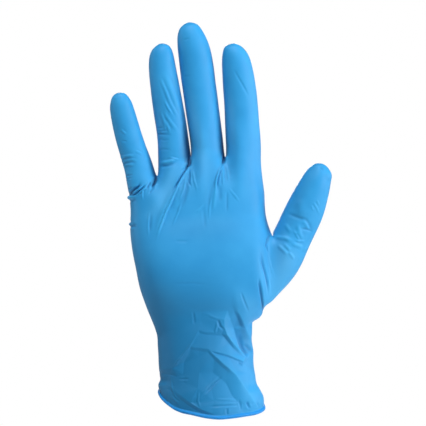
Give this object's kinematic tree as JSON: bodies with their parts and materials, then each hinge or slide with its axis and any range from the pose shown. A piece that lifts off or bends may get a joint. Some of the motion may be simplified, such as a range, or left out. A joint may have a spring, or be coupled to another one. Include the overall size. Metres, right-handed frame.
{
  "type": "nitrile exam glove",
  "caption": "Thin blue disposable hand glove with five separate fingers and a rolled cuff edge, kept in its worn form.",
  "frame": {"origin": "middle of the opening where the wrist goes in, at the level of the rolled rim", "axes": "+Z from the opening towards the fingertips, -Y out of the palm, +X towards the thumb"},
  "size_m": [0.133, 0.0508, 0.2389],
  "materials": {
    "nitrile": "satin"
  },
  "bodies": {
    "root": {"cuff": "nitrile", "palm": "nitrile", "thumb": "nitrile", "little_finger": "nitrile", "ring_finger": "nitrile", "middle_finger": "nitrile", "index_finger": "nitrile"}
  },
  "joints": []
}
